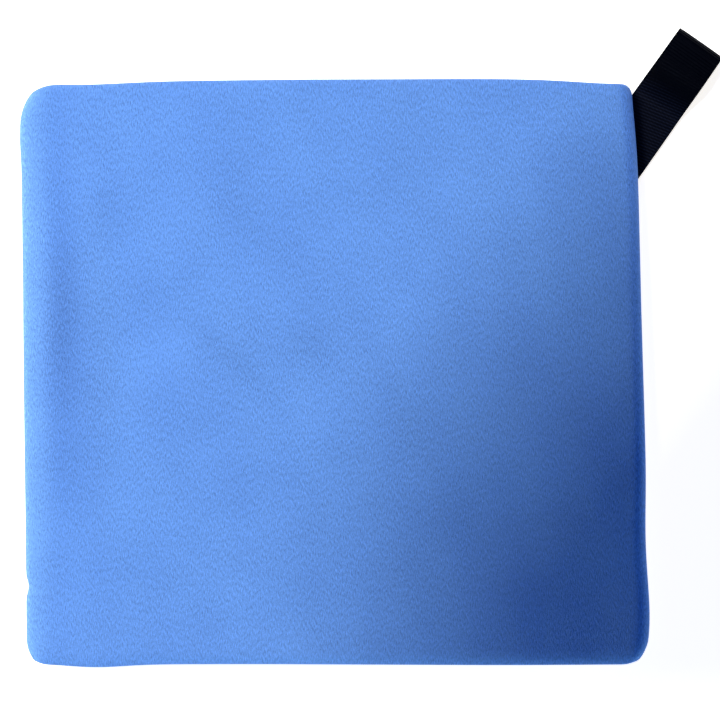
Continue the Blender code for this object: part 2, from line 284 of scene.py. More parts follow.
def level_shift(x, y, z):
    """The folds of the lower levels stop a little short, each by its own amount."""
    depth = (PACK_Z - z) / PACK_Z
    near_x = rise(np.abs(x) / HALF_X, *LEVEL_EDGE) * np.sign(x)
    near_y = rise(np.abs(y) / HALF_Y, *LEVEL_EDGE) * np.sign(y)
    in_x = 0.5 - 0.5 * np.cos(LEVEL_RHYTHM_X[0] * depth + LEVEL_RHYTHM_X[1] * y * np.sign(x))
    in_y = 0.5 - 0.5 * np.cos(LEVEL_RHYTHM_Y[0] * depth + LEVEL_RHYTHM_Y[1] * x * np.sign(y))
    return -LEVEL_WOBBLE * in_x * near_x, -LEVEL_WOBBLE * in_y * near_y


def corner_shift(x, y):
    """Pulls each square corner of the pack in to a round one."""
    shift_x, shift_y = np.zeros_like(x), np.zeros_like(y)
    for (side_x, side_y), radius in CORNERS.items():
        a = np.clip((side_x * x - (HALF_X - radius)) / radius, 0.0, 1.0)
        b = np.clip((side_y * y - (HALF_Y - radius)) / radius, 0.0, 1.0)
        shift_x += side_x * radius * a * (np.sqrt(1 - CORNER_FULLNESS * b * b / 2) - 1)
        shift_y += side_y * radius * b * (np.sqrt(1 - CORNER_FULLNESS * a * a / 2) - 1)
    return shift_x, shift_y


def relax(points):
    """Moves points of the plain, square pack to where the real soft pack has them."""
    x, y, z = points[:, 0], points[:, 1], points[:, 2]
    within = 1 - rise(x - HALF_X, *CHANGE_END)
    edges = (
        shoulder(HALF_X + x, *SHOULDER_LEFT),
        shoulder(HALF_X - np.minimum(x, HALF_X), *SHOULDER_RIGHT) * within,
        shoulder(HALF_Y - np.abs(y), *SHOULDER_SIDE) * within,
    )
    drop = sum(edge**3 for edge in edges) ** (1 / 3)  # the shoulders run into each other softly
    height = np.clip(z / PACK_Z, 0.0, None)
    moved_z = z * (1 - drop / PACK_Z) + within * height**WAVE_FADE_POWER * top_waves(x, y)
    moved_z += NAP_LIFT * (1 - height) * within
    shift_x, shift_y = outline_shift(x, y)
    level_x, level_y = level_shift(x, y, z)
    round_x, round_y = corner_shift(x, y)
    moved_x = x + within * (shift_x + level_x + round_x)
    moved_y = y + within * (shift_y + level_y + round_y)
    return np.stack((moved_x, moved_y, moved_z), axis=1)


def pressed_only(points):
    """The ribbon keeps its straight run and only takes its heights from the soft pack."""
    pressed = points.copy()
    pressed[:, 2] = relax(points)[:, 2]
    return pressed


# ---------------------------------------------------------------- the route along the towel


def level_z(level):
    """Height of the middle ply of a level."""
    return CAD_CLOTH / 2 + PLY_PITCH * (PLIES * level + 1)


WIDE_RADIUS = 1.5 * PLIES * PLY_PITCH
TIGHT_RADIUS = 0.5 * PLIES * PLY_PITCH
OUTER_PLY = PLY_PITCH + CAD_CLOTH / 2  # from a level's middle to the outside of its outer ply
FOLD_X = HALF_X - WIDE_RADIUS - OUTER_PLY
HALF_FOLD_X = HALF_X - TIGHT_RADIUS - OUTER_PLY
TOWEL_END_X = END_HEM_HIGH.x
CUT_X = TOWEL_END_X - HEM_OVERLAP


def stations(start, end, inner_step):
    """Places from start to end, closer together near the pack's edges."""
    low, high = min(start, end), max(start, end)
    limit = HALF_X - EDGE_MARGIN
    cuts = [low] + [cut for cut in (-limit, limit) if low < cut < high] + [high]
    places = [low]
    for first, last in zip(cuts, cuts[1:]):
        near_edge = abs(first + last) / 2 > limit
        step = EDGE_STEP if near_edge else inner_step
        count = max(1, round((last - first) / step))
        places.extend(first + (last - first) * (i + 1) / count for i in range(count))
    return places if end > start else places[::-1]


def flat_run(level, start, end, step, share):
    """(x, z, left normal x, left normal z, share of the second body) along one level."""
    up = 1.0 if end > start else -1.0
    return [(x, level_z(level), 0.0, up, share) for x in stations(start, end, step)]


def fold_run(level, next_level, side, centre_x, shares, steps):
    """Half a turn from one level round to another, at the left or right end of the pack."""
    low, high = level_z(level), level_z(next_level)
    radius = abs(high - low) / 2
    centre_z = (low + high) / 2
    climb = 1 if high > low else -1
    rows = []
    for i in range(1, steps):
        t = i / steps
        angle = math.pi * (t - 0.5) * climb
        out_x, out_z = side * math.cos(angle), math.sin(angle)
        inward = side * climb
        share = shares[0] + (shares[1] - shares[0]) * float(smooth(t))
        place = (centre_x + radius * out_x, centre_z + radius * out_z)
        rows.append((*place, -inward * out_x, -inward * out_z, share))
    return rows


def strip_routes():
    """The three strips that the sheet is made in, each crossing one hinge of the pack."""
    fold, half_fold = FOLD_X, HALF_FOLD_X
    first = (
        flat_run(0, CUT_X, -fold, PLAIN_STEP, 0.0)
        + fold_run(0, 3, -1, -fold, (0.0, 1.0), WIDE_FOLD_STEPS)
        + flat_run(3, -fold, JOIN_X, PLAIN_STEP, 1.0)
    )
    last = (
        flat_run(2, JOIN_X, -fold, PLAIN_STEP, 1.0)
        + fold_run(2, 1, -1, -fold, (1.0, 0.0), TIGHT_FOLD_STEPS)
        + flat_run(1, -fold, CUT_X, PLAIN_STEP, 0.0)
    )
    face = (
        flat_run(3, JOIN_X, fold, PLAIN_STEP, 0.0)
        + fold_run(3, 4, 1, fold, (0.0, 1.0), TIGHT_FOLD_STEPS)
        + flat_run(4, fold, -half_fold, PLAIN_STEP, 1.0)
        + fold_run(4, 5, -1, -half_fold, (1.0, 1.0), TIGHT_FOLD_STEPS)
        + flat_run(5, -half_fold, fold, FINE_STEP, 1.0)
        + fold_run(5, 2, 1, fold, (1.0, 0.0), WIDE_FOLD_STEPS)
        + flat_run(2, fold, JOIN_X, PLAIN_STEP, 0.0)
    )
    return {"first": np.array(first), "face": np.array(face), "last": np.array(last)}


# ---------------------------------------------------------------- the section across the towel

OPEN_EDGE_Y = -HALF_Y
LOW_FOLD_RADIUS = PLY_PITCH / 2
HIGH_FOLD_RADIUS = PLY_PITCH
LOW_FOLD_Y = -HALF_Y + LOW_FOLD_RADIUS + CAD_CLOTH / 2
HIGH_FOLD_Y = HALF_Y - HIGH_FOLD_RADIUS - CAD_CLOTH / 2


def half_circle(centre_y, centre_n, radius, side, start, steps):
    """Points inside a half turn from the start angle, bulging to one side."""
    points = []
    for i in range(1, steps):
        angle = start + math.copysign(math.pi * i / steps, -start)
        points.append((centre_y + side * radius * math.cos(angle), centre_n + radius * math.sin(angle)))
    return points


def across(start, end, height, step):
    """Points of one ply, closer together near the pack's sides."""
    spread = HALF_X / HALF_Y
    return [(y / spread, height) for y in stations(start * spread, end * spread, step)]


def cloth_section(outer_step):
    """(y, height on the left normal) from the hidden edge round to the open one."""
    right_angle = math.pi / 2
    low_steps, high_steps = PLY_FOLD_STEPS
    return np.array(
        across(HIDDEN_EDGE_Y - HEM_OVERLAP, LOW_FOLD_Y, 0.0, HIDDEN_STEP)
        + half_circle(LOW_FOLD_Y, LOW_FOLD_RADIUS, LOW_FOLD_RADIUS, -1, -right_angle, low_steps)
        + across(LOW_FOLD_Y, HIGH_FOLD_Y, PLY_PITCH, outer_step)
        + half_circle(HIGH_FOLD_Y, 0.0, HIGH_FOLD_RADIUS, 1, right_angle, high_steps)
        + across(HIGH_FOLD_Y, OPEN_EDGE_Y + HEM_OVERLAP, -PLY_PITCH, HIDDEN_STEP)
    )


def lengths_along(points):
    steps = np.linalg.norm(np.diff(points, axis=0), axis=1)
    return np.concatenate(([0.0], np.cumsum(steps)))


# ---------------------------------------------------------------- meshes


def mesh_object(name, points, faces, shares, cloth_places):
    """A mesh with each point's share of the second body, if any, and its place on the cloth."""
    mesh = bpy.data.meshes.new(name)
    mesh.from_pydata(points.tolist(), [], faces)
    mesh.update()
    mesh.shade_smooth()
    if shares is not None:
        share = mesh.attributes.new("share", "FLOAT", "POINT")
        share.data.foreach_set("value", shares.astype(np.float32))
    places = mesh.attributes.new("place", "FLOAT_VECTOR", "POINT")
    places.data.foreach_set("vector", cloth_places.astype(np.float32).ravel())
    obj = bpy.data.objects.new(name, mesh)
    bpy.context.scene.collection.objects.link(obj)
    return obj


def grid_faces(rows, columns, closed=False):
    """Quads of a grid of points; closed joins the last column to the first."""
    index = np.arange(rows * columns).reshape(rows, columns)
    if closed:
        index = np.concatenate((index, index[:, :1]), axis=1)
    corners = (index[:-1, :-1], index[:-1, 1:], index[1:, 1:], index[1:, :-1])
    return np.stack(corners, axis=-1).reshape(-1, 4).tolist()


def move_points(obj, change):
    count = len(obj.data.vertices)
    points = np.empty(count * 3, np.float32)
    obj.data.vertices.foreach_get("co", points)
    moved = change(points.reshape(-1, 3).astype(float))
    obj.data.vertices.foreach_set("co", moved.astype(np.float32).ravel())
    obj.data.update()


def blend_by_share(obj, body_a, body_b):
    """Bakes the object's transform into its points, then reads and removes the share that each point
    was given along its route.
    """
    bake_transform(obj)
    count = len(obj.data.vertices)
    shares = np.empty(count, np.float32)
    obj.data.attributes["share"].data.foreach_get("value", shares)
    obj.data.attributes.remove(obj.data.attributes["share"])


def carried(route, section):
    """The section's points carried along the route: an array of (rows, columns, 3)."""
    x = route[:, 0, None] + section[None, :, 1] * route[:, 2, None]
    z = route[:, 1, None] + section[None, :, 1] * route[:, 3, None]
    y = np.broadcast_to(section[None, :, 0], x.shape)
    return np.stack((x, y, z), axis=-1)


def cloth_strip(name, route, section, start_length):
    """One strip of the suede sheet, as a surface that Solidify thickens to both sides."""
    points = carried(route, section)
    rows, columns = points.shape[:2]
    along = start_length + lengths_along(route[:, :2])
    over = lengths_along(section)
    places = np.zeros((rows, columns, 3))
    places[:, :, 0] = along[:, None]
    places[:, :, 1] = over[None, :]
    is_top = points[:, :, 2] > level_z(LEVELS - 1) + PLY_PITCH / 2
    # painted light and shade of the creases, on the top face only
    places[:, :, 2] = is_top * painted_crease_light(points[:, :, 0], points[:, :, 1])
    shares = np.repeat(route[:, 4], columns)
    return mesh_object(
        name, points.reshape(-1, 3), grid_faces(rows, columns), shares, places.reshape(-1, 3)
    )


def thicken(obj, thickness):
    modifier = obj.modifiers.new("thickness", "SOLIDIFY")
    modifier.thickness = thickness
    modifier.offset = 0.0


def ribbon_axes():
    along = np.array((math.sin(RIBBON_ANGLE), math.cos(RIBBON_ANGLE), 0.0))
    sideways = np.array((along[1], -along[0], 0.0))
    return along, sideways


def cut_room_for_ribbon(obj):
    """Takes the inner ply's corner away where the ribbon is sewn in its place."""
    along, sideways = ribbon_axes()
    middle = np.array(LOOP_HINGE)
    half = RIBBON_ROOT_WIDTH / 2 + ROOM_ROUND_RIBBON
    back = -RIBBON_TAIL - ROOM_ROUND_RIBBON
    low, high = level_z(0) - PLY_PITCH / 3, level_z(0) + PLY_PITCH / 3
    cloth = bmesh.new()
    cloth.from_mesh(obj.data)

    def is_inner_ply(vertex):
        return low < vertex.co.z < high and vertex.co.x > 0

    planes = ((middle + half * sideways, sideways), (middle - half * sideways, sideways))
    for place, normal in planes + ((middle + back * along, along),):
        faces = [f for f in cloth.faces if all(is_inner_ply(v) for v in f.verts)]
        edges = {e for f in faces for e in f.edges}
        verts = {v for f in faces for v in f.verts}
        bmesh.ops.bisect_plane(
            cloth, geom=faces + list(edges) + list(verts), plane_co=place, plane_no=normal
        )
    gone = []
    for face in cloth.faces:
        if not all(is_inner_ply(v) for v in face.verts):
            continue
        offset = np.array(face.calc_center_median()) - middle
        if abs(offset @ sideways) < half and offset @ along > back:
            gone.append(face)
    bmesh.ops.delete(cloth, geom=gone, context="FACES")
    cloth.to_mesh(obj.data)
    cloth.free()


# ---------------------------------------------------------------- overlocked edges


def squared(value):
    """A cosine or sine pushed outwards, so that a ring of points is squarer than a circle."""
    return math.copysign(abs(value) ** BAR_SQUARENESS, value)


def stitched_bar(name, centres, wide_axes, high_axes, half_size, pitch, shares=None):
    """A closed, flattened bar of thread along a path, ridged once for every stitch."""
    along = lengths_along(centres)
    ridge = 0.5 + 0.5 * np.cos(2 * math.pi * along / pitch)
    ridged_width = STITCH_WIDTHS[0] + STITCH_WIDTHS[1] * ridge
    ridged_height = STITCH_HEIGHTS[0] + STITCH_HEIGHTS[1] * ridge
    points, places = [], []
    for k in range(BAR_SIDES):
        angle = 2 * math.pi * (k + 0.5) / BAR_SIDES
        width = half_size[0] * squared(math.cos(angle)) * ridged_width
        height = half_size[1] * squared(math.sin(angle)) * ridged_height
        points.append(centres + width[:, None] * wide_axes + height[:, None] * high_axes)
        places.append(np.stack((along, np.full_like(along, angle), np.zeros_like(along)), axis=1))
    grid = np.stack(points, axis=1)
    place_grid = np.stack(places, axis=1)
    rows = len(centres)
    faces = grid_faces(rows, BAR_SIDES, closed=True)
    faces.append(list(range(BAR_SIDES)))
    faces.append([(rows - 1) * BAR_SIDES + k for k in reversed(range(BAR_SIDES))])
    share_grid = None if shares is None else np.repeat(shares, BAR_SIDES)
    obj = mesh_object(name, grid.reshape(-1, 3), faces, share_grid, place_grid.reshape(-1, 3))
    move_points(obj, relax)
    return obj


def resampled(columns, step):
    """The rows of an array, interpolated to even steps along its first two columns."""
    along = lengths_along(columns[:, :2])
    count = int(along[-1] / step) + 1
    wanted = np.linspace(0.0, along[-1], count)
    return np.stack([np.interp(wanted, along, column) for column in columns.T], axis=1)


def long_hem(name, route, edge_y, inward, height):
    """The overlocked long edge of one strip, at a height on the cloth's left normal."""
    rows = resampled(route, STITCH_STEP)
    normals = rows[:, 2:4] / np.linalg.norm(rows[:, 2:4], axis=1, keepdims=True)
    centres = np.zeros((len(rows), 3))
    centres[:, 0] = rows[:, 0] + height * normals[:, 0]
    centres[:, 1] = edge_y + inward * HEM_WIDTH / 2
    centres[:, 2] = rows[:, 1] + height * normals[:, 1]
    wide = np.tile((0.0, 1.0, 0.0), (len(rows), 1))
    high = np.stack((normals[:, 0], np.zeros(len(rows)), normals[:, 1]), axis=1)
    return stitched_bar(name, centres, wide, high, HEM_HALF_SIZE, STITCH_PITCH, rows[:, 4])


def end_hem(name, level, up, first_y):
    """A short hem, all the way through the three plies at the end of the towel."""
    section = cloth_section(PLAIN_STEP)
    is_hidden_ply = section[:, 1] == 0.0
    section = section[(section[:, 0] < first_y) | ~is_hidden_ply]
    rows = resampled(section, STITCH_STEP)
    tangent = np.gradient(rows, axis=0)
    tangent /= np.linalg.norm(tangent, axis=1, keepdims=True)
    centres = np.zeros((len(rows), 3))
    centres[:, 0] = TOWEL_END_X - HEM_WIDTH / 2
    centres[:, 1] = rows[:, 0]
    centres[:, 2] = level_z(level) + up * rows[:, 1]
    wide = np.tile((1.0, 0.0, 0.0), (len(rows), 1))
    high = np.stack((np.zeros(len(rows)), -up * tangent[:, 1], tangent[:, 0]), axis=1)
    return stitched_bar(name, centres, wide, high, HEM_HALF_SIZE, STITCH_PITCH)


# ---------------------------------------------------------------- the ribbon


def ribbon_path():
    """(distance out, height from the eye's middle, ply) from one sewn end round to the other.

    The ply is 0 for the low one, 1 for the high one and 0.5 for the turn between them.
    """
    far_radius = (LOOP_HEIGHT - RIBBON_THICKNESS) / 2
    far_centre = LOOP_LENGTH - LOOP_HEIGHT / 2
    step = RIB_PITCH / RIB_STEPS
    out = np.arange(-RIBBON_TAIL, far_centre, step)
    turn = np.linspace(-math.pi / 2, math.pi / 2, int(math.pi * far_radius / step))
    lower = np.stack((out, np.zeros_like(out), np.zeros_like(out)), axis=1)
    turn_out, turn_up = far_centre + far_radius * np.cos(turn), far_radius * np.sin(turn)
    bight = np.stack((turn_out, turn_up, np.full_like(turn, 0.5)), axis=1)
    upper = np.stack((out[::-1], np.zeros_like(out), np.ones_like(out)), axis=1)
    return np.concatenate((lower, bight, upper))


def ribbon_heights(distance, x, ply, lift):
    """Height of the ribbon's middle: both plies pressed at the root, open further out."""
    low = RIBBON_THICKNESS / 2 + RIBBON_TABLE_GAP
    high = LOOP_HEIGHT - RIBBON_THICKNESS / 2
    lower = PRESSED_LOW + (low - PRESSED_LOW) * rise(x, *LOW_PLY_SETTLES)
    upper = PRESSED_HIGH + (high - PRESSED_HIGH) * rise(distance, *HIGH_PLY_OPENS)
    return np.where(ply < 0.25, lower, np.where(ply > 0.75, upper, (low + high) / 2 + lift))


def ribbon_middle(distance, over, lane, ply, lift):
    """Points midway through the ribbon: rows out along it, columns across it."""
    along, sideways = ribbon_axes()
    x = LOOP_HINGE.x + distance * along[0] + over * sideways[0]
    y = LOOP_HINGE.y + distance * along[1] + over * sideways[1]
    z = ribbon_heights(distance, x, ply, lift)
    raised = np.clip((z - RIBBON_THICKNESS) / (LOOP_HEIGHT - 2 * RIBBON_THICKNESS), 0.0, 1.0)
    cup = RIBBON_CUP * rise(distance, *CUP_START) * raised
    return np.stack((x, y, z - cup * lane**2), axis=-1)


def surface_normals(points):
    normal = np.cross(np.gradient(points, axis=0), np.gradient(points, axis=1))
    return normal / np.linalg.norm(normal, axis=2, keepdims=True)


def ribbon_ribs(arc, over, distance, ply):
    """-1 in the grooves to 1 on the ribs, which slant where the ribbon is sewn."""
    skew = -RIB_SKEW * (1 - rise(distance, *RIB_SKEW_END))
    phase = (arc + skew * over * np.where(ply > 0.5, -1, 1)) / RIB_PITCH
    return 2 * np.abs(np.cos(math.pi * phase)) - 1


def both_faces(upper, lower):
    """Columns across the upper face, then back across the lower one."""
    return np.concatenate((upper, lower[:, ::-1]), axis=1)


def make_ribbon():
    path = ribbon_path()
    distance, lift, ply = path[:, 0, None], path[:, 1, None], path[:, 2, None]
    lane = np.linspace(-1.0, 1.0, RIBBON_LANES)[None, :]
    narrowing = (RIBBON_TIP_WIDTH - RIBBON_ROOT_WIDTH) * smooth(distance / LOOP_LENGTH)
    over = RIBBON_OFFSET + lane * (RIBBON_ROOT_WIDTH + narrowing) / 2
    middle = ribbon_middle(distance, over, lane, ply, lift)
    arc = lengths_along(middle[:, RIBBON_LANES // 2])[:, None]
    rib = ribbon_ribs(arc, over, distance, ply)
    edge = 1 - RIBBON_EDGE_THINNING * np.abs(lane) ** 8
    half = (RIBBON_THICKNESS / 2 - RIB_DEPTH / 2 + RIB_DEPTH * rib) * edge
    out = half[:, :, None] * surface_normals(middle)
    grid = both_faces(middle + out, middle - out)
    # painted shine: painted highlight on the rib tops near the sewn end, fading further out, and
    # painted shade in the grooves
    fade = 1 - RIB_SHINE_LOSS * rise(distance, *RIB_SHINE_FADE)
    shine = (0.5 + 0.5 * rib) ** RIB_SHINE_POWER * fade
    places = np.zeros(grid.shape)
    places[:, :, 0] = arc
    places[:, :, 1] = both_faces(over, over)
    places[:, :, 2] = both_faces(shine, shine)
    rows, columns = grid.shape[:2]
    faces = grid_faces(rows, columns, closed=True)
    faces.append(list(range(columns))[::-1])
    faces.append([(rows - 1) * columns + k for k in range(columns)])
    obj = mesh_object("ribbon_loop", grid.reshape(-1, 3), faces, None, places.reshape(-1, 3))
    move_points(obj, pressed_only)
    obj.data.set_sharp_from_angle(angle=math.radians(55))
    return obj


def make_bartack(number, distance):
    """A short ridged bar of thread across the ribbon's sewn end."""
    along, sideways = ribbon_axes()
    centre = np.array((LOOP_HINGE.x, LOOP_HINGE.y, BARTACK_HEIGHT)) + distance * along
    steps = np.linspace(-BARTACK_LENGTH / 2, BARTACK_LENGTH / 2, BARTACK_POINTS)
    centres = centre + steps[:, None] * sideways
    wide = np.tile(along, (len(steps), 1))
    high = np.tile((0.0, 0.0, 1.0), (len(steps), 1))
    name = f"bartack_thread_{number}"
    return stitched_bar(name, centres, wide, high, BARTACK_HALF_SIZE, BARTACK_PITCH)


def make_label():
    """The small blank label of satin, sewn in at the tucked-in edge."""
    low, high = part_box("care_label")
    rows, columns = LABEL_GRID
    x = np.linspace(low.x, high.x, rows)[:, None]
    y = np.linspace(low.y, high.y, columns)[None, :]
    grid = np.zeros((rows, columns, 3))
    grid[:, :, 0] = x
    grid[:, :, 1] = y
    ripple = np.sin(LABEL_RIPPLE_X * x + LABEL_RIPPLE_Y * y)
    grid[:, :, 2] = (low.z + high.z) / 2 + LABEL_RIPPLE * ripple
    points = grid.reshape(-1, 3)
    obj = mesh_object("care_label_satin", points, grid_faces(rows, columns), None, points)
    move_points(obj, relax)
    thicken(obj, LABEL_THICKNESS)
    return obj


# ---------------------------------------------------------------- materials


def new_material(name, colour, roughness, **settings):
    """A Principled material with its steady values on the shader's own sockets."""
    material = bpy.data.materials.new(name)
    material.use_nodes = True
    shader = material.node_tree.nodes["Principled BSDF"]
    shader.inputs["Base Color"].default_value = (*colour, 1.0)
    shader.inputs["Roughness"].default_value = roughness
    for socket, value in settings.items():
        shader.inputs[socket.replace("_", " ")].default_value = value
    return material, material.node_tree, shader


def place_node(tree):
    node = tree.nodes.new("ShaderNodeAttribute")
    node.attribute_name = "place"
    return node.outputs["Vector"]


def stretched(tree, vector, scale, turn=0.0):
    node = tree.nodes.new("ShaderNodeMapping")
    node.inputs["Scale"].default_value = scale
    node.inputs["Rotation"].default_value = (0.0, 0.0, turn)
    tree.links.new(vector, node.inputs["Vector"])
    return node.outputs["Vector"]


def noise(tree, vector, scale, detail=2.0, roughness=0.5):
    node = tree.nodes.new("ShaderNodeTexNoise")
    node.inputs["Scale"].default_value = scale
    node.inputs["Detail"].default_value = detail
    node.inputs["Roughness"].default_value = roughness
    tree.links.new(vector, node.inputs["Vector"])
    return node.outputs["Fac"]


def maths(tree, operation, first, second):
    node = tree.nodes.new("ShaderNodeMath")
    node.operation = operation
    for socket, value in zip(node.inputs, (first, second)):
        if isinstance(value, (int, float)):
            socket.default_value = value
        else:
            tree.links.new(value, socket)
    return node.outputs["Value"]


def ramp(tree, factor, stops):
    """A colour ramp through (position, colour) stops."""
    node = tree.nodes.new("ShaderNodeValToRGB")
    elements = node.color_ramp.elements
    while len(elements) < len(stops):
        elements.new(0.5)
    for element, (position, colour) in zip(elements, stops):
        element.position = position
        element.color = (*colour, 1.0)
    tree.links.new(factor, node.inputs["Fac"])
    return node.outputs["Color"]


def bump(tree, shader, height, distance):
    node = tree.nodes.new("ShaderNodeBump")
    node.inputs["Distance"].default_value = distance
    node.inputs["Strength"].default_value = 1.0
    tree.links.new(height, node.inputs["Height"])
    tree.links.new(node.outputs["Normal"], shader.inputs["Normal"])


def stored_value(tree, place):
    """What a piece stores beside its place on the cloth: the painted light and shade of the creases, or
    a rib's painted shine.
    """
    node = tree.nodes.new("ShaderNodeSeparateXYZ")
    tree.links.new(place, node.inputs["Vector"])
    return node.outputs["Z"]


def weighted(tree, first, first_weight, second, second_weight):
    """Two values added up by their weights."""
    parts = [
        value if weight == 1 else maths(tree, "MULTIPLY", value, weight)
        for value, weight in ((first, first_weight), (second, second_weight))
    ]
    return maths(tree, "ADD", *parts)


def shade(colour, factor):
    return tuple(min(1.0, part * factor) for part in colour)


SUEDE = (0.120, 0.260, 0.555)
SUEDE_SHEEN_TINT = (0.62, 0.80, 1.0, 1.0)
NAP_STREAKS = (2900.0, 800.0, 0.0)  # features a metre along the towel and across it
PILE_GRAIN = (3900.0, 3000.0, 0.0)
NAP_TURN, PILE_TURN = 0.5, 1.0
WORN_PATCHES = (55.0, 55.0, 0.0)
OVERLOCK_BLUE = (0.105, 0.265, 0.70)
BARTACK_BLACK = (0.008, 0.008, 0.012)
RIBBON_BLACK = (0.0004, 0.0006, 0.0018)
# painted highlight on the rib tops
PAINTED_RIB_HIGHLIGHT = (0.0085, 0.0105, 0.0200)
RIBBON_TINT = (0.72, 0.78, 1.0, 1.0)
SATIN_WHITE = (0.80, 0.80, 0.78)
FLOOR_PALE = (0.90, 0.90, 0.90)
FLOOR_GRAIN = (0.885, 0.885, 0.885)
FLOOR_GLOW = (0.92, 0.86, 0.73, 1.0)


def make_suede():
    """Brushed microfibre: a fine mottled nap in short streaks, with painted light and shade in the
    crease marks.
    """
    material, tree, shader = new_material(
        "suede", SUEDE, 0.94, Specular_IOR_Level=0.12,
        Sheen_Weight=0.22, Sheen_Roughness=0.45, Sheen_Tint=SUEDE_SHEEN_TINT,
    )
    place = place_node(tree)
    nap = noise(tree, stretched(tree, place, NAP_STREAKS, NAP_TURN), 1.0, 3.0, 0.65)
    pile = noise(tree, stretched(tree, place, PILE_GRAIN, PILE_TURN), 1.0, 1.0)
    patches = noise(tree, stretched(tree, place, WORN_PATCHES), 1.0, 2.0)
    mottle = weighted(tree, nap, 0.74, pile, 0.20)
    tone = weighted(tree, mottle, 1, patches, 0.06)
    # adds the painted light and shade of the creases to the nap's tone
    tone = maths(tree, "ADD", tone, stored_value(tree, place))
    stops = ((0.30, shade(SUEDE, 0.50)), (0.50, SUEDE), (0.70, shade(SUEDE, 1.50)))
    tree.links.new(ramp(tree, tone, stops), shader.inputs["Base Color"])
    bump(tree, shader, mottle, 0.00022)
    return material


def make_thread(name, colour, pitch):
    """Plied thread: slanted strands along the stitches."""
    material, tree, shader = new_material(
        name, colour, 0.72, Sheen_Weight=0.15, Sheen_Roughness=0.4, Specular_IOR_Level=0.25
    )
    place = place_node(tree)
    strands = tree.nodes.new("ShaderNodeTexWave")
    strands.inputs["Scale"].default_value = 1.0
    strands.inputs["Distortion"].default_value = 1.2
    slanted = stretched(tree, place, (1.2 / pitch, 0.35, 1.0), math.radians(20))
    tree.links.new(slanted, strands.inputs["Vector"])
    fibres = noise(tree, stretched(tree, place, (4200.0, 3.0, 1.0)), 1.0, 2.0)
    height = weighted(tree, strands.outputs["Fac"], 1, fibres, 0.5)
    stops = ((0.15, shade(colour, 0.62)), (0.75, colour), (1.0, shade(colour, 1.18)))
    tree.links.new(ramp(tree, height, stops), shader.inputs["Base Color"])
    bump(tree, shader, height, 0.00012)
    return material


def make_grosgrain():
    """Ribbed polyester ribbon: fine warp threads run along it, with a painted highlight on its ribs and
    painted shade in its grooves.
    """
    material, tree, shader = new_material(
        "grosgrain", RIBBON_BLACK, 0.40, Specular_IOR_Level=0.022, Specular_Tint=RIBBON_TINT
    )
    place = place_node(tree)
    warp = tree.nodes.new("ShaderNodeTexWave")
    warp.bands_direction = "Y"
    warp.inputs["Scale"].default_value = 1.0
    warp.inputs["Distortion"].default_value = 0.6
    tree.links.new(stretched(tree, place, (40.0, 900.0, 0.0)), warp.inputs["Vector"])
    fibres = noise(tree, stretched(tree, place, (900.0, 5200.0, 0.0)), 1.0, 2.0)
    height = weighted(tree, warp.outputs["Fac"], 0.6, fibres, 1)
    # the painted shine sets the colour: painted shade in the grooves, painted highlight on the rib tops
    shine = weighted(tree, stored_value(tree, place), 0.8, fibres, 0.3)
    stops = ((0.10, shade(RIBBON_BLACK, 0.55)), (0.45, RIBBON_BLACK), (0.95, PAINTED_RIB_HIGHLIGHT))
    tree.links.new(ramp(tree, shine, stops), shader.inputs["Base Color"])
    bump(tree, shader, height, 0.00006)
    return material


def make_satin():
    """White woven satin with its threads just visible."""
    material, tree, shader = new_material("satin", SATIN_WHITE, 0.38, Sheen_Weight=0.2)
    place = place_node(tree)
    weave = tree.nodes.new("ShaderNodeTexWave")
    weave.bands_direction = "Y"
    weave.inputs["Scale"].default_value = 1.0
    tree.links.new(stretched(tree, place, (60.0, 1400.0, 1.0)), weave.inputs["Vector"])
    stops = ((0.2, shade(SATIN_WHITE, 0.86)), (0.8, SATIN_WHITE))
    tone = ramp(tree, weave.outputs["Fac"], stops)
    tree.links.new(tone, shader.inputs["Base Color"])
    bump(tree, shader, weave.outputs["Fac"], 0.00004)
    return material


def make_floor_material():
    """Plain pale board, lit a little from within so that it stays pale in every shadow."""
    material, tree, shader = new_material(
        "floor", FLOOR_PALE, 0.85, Emission_Color=FLOOR_GLOW, Emission_Strength=1.0
    )
    position = tree.nodes.new("ShaderNodeNewGeometry").outputs["Position"]
    tone = ramp(tree, noise(tree, position, 300.0), ((0.3, FLOOR_GRAIN), (0.7, FLOOR_PALE)))
    tree.links.new(tone, shader.inputs["Base Color"])
    return material


def give(obj, material):
    obj.data.materials.clear()
    obj.data.materials.append(material)


# ---------------------------------------------------------------- the towel


STRIPS = {  # the two bodies that each strip joins, its panels, and the step of its outer ply
    "first": (("bottom", "middle"), (1, 2), PLAIN_STEP),
    "face": (("middle", "top"), (3, 4), FINE_STEP),
    "last": (("bottom", "middle"), (5, 6), PLAIN_STEP),
}
END_HEMS = {  # its level, which way its plies go, and the y where its hidden ply starts
    "first": (0, -1, END_HEM_STOP_Y),
    "last": (1, 1, HALF_Y),
}


def make_sheet(suede, overlock):
    """The one sheet in its three strips, each with the hems that are sewn to it."""
    start_length = 0.0
    for name, route in strip_routes().items():
        bodies, panels, outer_step = STRIPS[name]
        section = cloth_section(outer_step)
        strip = cloth_strip(f"towel_{name}_strip", route, section, start_length)
        length = lengths_along(route[:, :2])[-1]
        start_length += length
        if name == "first":
            cut_room_for_ribbon(strip)
        move_points(strip, relax)
        thicken(strip, CLOTH_THICKNESS)
        give(strip, suede)
        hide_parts(*(f"cloth_panel_{n}" for n in panels))
        blend_by_share(strip, *bodies)
        hems = make_hems(name, route, panels, bodies, overlock)


